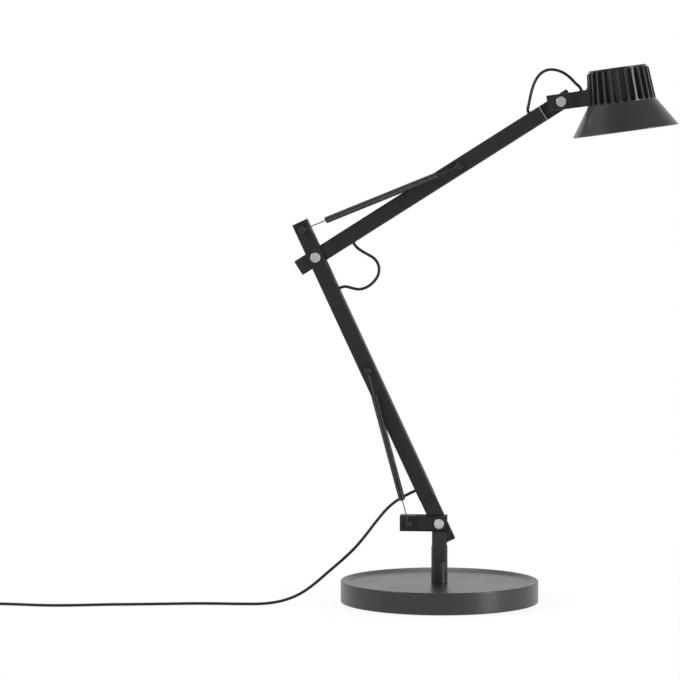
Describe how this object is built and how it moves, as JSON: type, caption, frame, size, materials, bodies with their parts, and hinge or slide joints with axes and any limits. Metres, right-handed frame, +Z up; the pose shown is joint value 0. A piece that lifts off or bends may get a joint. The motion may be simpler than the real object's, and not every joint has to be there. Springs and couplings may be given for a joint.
{
  "type": "balanced-arm desk lamp",
  "caption": "Desk lamp with a round weighted base, two sprung square arms and a ribbed head with a conical shade.",
  "frame": {"origin": "centre of the base's underside, on the desk", "axes": "+Z up, +X the way the head reaches at rest, -Y the side with the springs and the screw heads"},
  "size_m": [0.7436, 0.2818, 0.5394],
  "materials": {
    "base_paint": "fine satin graphite powder coat",
    "cast_iron": "raw casting",
    "rubber": "matt",
    "black_plastic": "moulded matt",
    "zinc_steel": "zinc plated",
    "post_paint": "satin black",
    "arm_paint": "satin black anodised",
    "tongue_paint": "satin black",
    "tip_paint": "satin black",
    "fork_paint": "satin black",
    "bright_steel": "turned and bead blasted",
    "spring_steel": "black oxide wire",
    "black_steel": "black oxide",
    "lead_sheath": "smooth matt sheath",
    "grommet_rubber": "matt",
    "adapter_plastic": "fine moulded grain",
    "plated_pins": "nickel plated",
    "sink_paint": "satin black cast",
    "cap_paint": "satin black",
    "shade_paint": "satin black",
    "board": "white solder mask",
    "reflector_white": "glossy white",
    "diffuser_white": "opal",
    "button_plastic": "satin"
  },
  "bodies": {
    "base": {"base_cover": "base_paint", "ballast_disc": "cast_iron", "foot_pad": "rubber", "swivel_bush": "black_plastic", "base_screws": "zinc_steel"},
    "post": {"post": "post_paint", "post_washer": "zinc_steel", "post_screw": "zinc_steel", "yoke": "arm_paint", "yoke_cap": "black_plastic", "lower_pivot_screw": "bright_steel", "lower_pivot_nut": "bright_steel", "lower_spring_anchor": "black_steel", "floor_lead": "lead_sheath", "lead_coil": "lead_sheath", "adapter_body": "adapter_plastic", "strain_relief": "lead_sheath", "adapter_pins": "plated_pins"},
    "lower_arm": {"lower_arm_tube": "arm_paint", "lower_tongue": "tongue_paint", "lower_pivot_washers": "black_plastic", "lower_arm_cap": "black_plastic", "lower_spring_stud": "black_steel", "upper_spring_anchor": "black_steel", "elbow_pivot_screw": "bright_steel", "elbow_pivot_nut": "bright_steel", "elbow_spacers": "black_plastic", "lower_arm_lead": "lead_sheath", "floor_lead_grommet": "grommet_rubber", "elbow_grommet_lower": "grommet_rubber", "lower_spring": "spring_steel"},
    "upper_arm": {"upper_arm_tube": "arm_paint", "upper_tongue": "tongue_paint", "arm_tip": "tip_paint", "upper_spring_stud": "black_steel", "upper_arm_lead": "lead_sheath", "elbow_grommet_upper": "grommet_rubber", "wrist_grommet_arm": "grommet_rubber", "elbow_loop": "lead_sheath", "upper_spring": "spring_steel"},
    "head": {"wrist_fork": "fork_paint", "fork_screws": "zinc_steel", "wrist_pivot_screw": "bright_steel", "wrist_pivot_nut": "bright_steel", "wrist_spacers": "black_plastic", "wrist_grommet_head": "grommet_rubber", "head_lead": "lead_sheath", "wrist_loop": "lead_sheath", "heat_sink": "sink_paint", "top_cap": "cap_paint", "shade": "shade_paint", "led_board": "board", "reflector": "reflector_white", "diffuser": "diffuser_white", "retaining_ring": "black_plastic", "switch_module": "black_plastic"},
    "button": {"power_button": "button_plastic"}
  },
  "joints": [
    {"name": "base_swivel", "type": "hinge", "parent": "base", "child": "post", "pos_m": [0, 0, 0.02], "axis": [0, 0, 1], "continuous": true},
    {"name": "lower_arm_tilt", "type": "hinge", "parent": "post", "child": "lower_arm", "pos_m": [0, 0, 0.08], "axis": [0, 1, 0], "range_deg": [-25, 40], "deforming": ["lower_spring", "floor_lead"]},
    {"name": "elbow", "type": "hinge", "parent": "lower_arm", "child": "upper_arm", "pos_m": [-0.12425, 0, 0.34645], "axis": [0, 1, 0], "range_deg": [-38, 42], "deforming": ["upper_spring", "elbow_loop"]},
    {"name": "head_tilt", "type": "hinge", "parent": "upper_arm", "child": "head", "pos_m": [0.12058, 0, 0.50189], "axis": [0, 1, 0], "range_deg": [-55, 45], "deforming": ["wrist_loop"]},
    {"name": "button_press", "type": "slide", "parent": "head", "child": "button", "axis": [0.1366, 0, -0.9906], "range_m": [0, 0.0012], "stiffness_N_per_m": 800, "springref_m": -0.001}
  ]
}
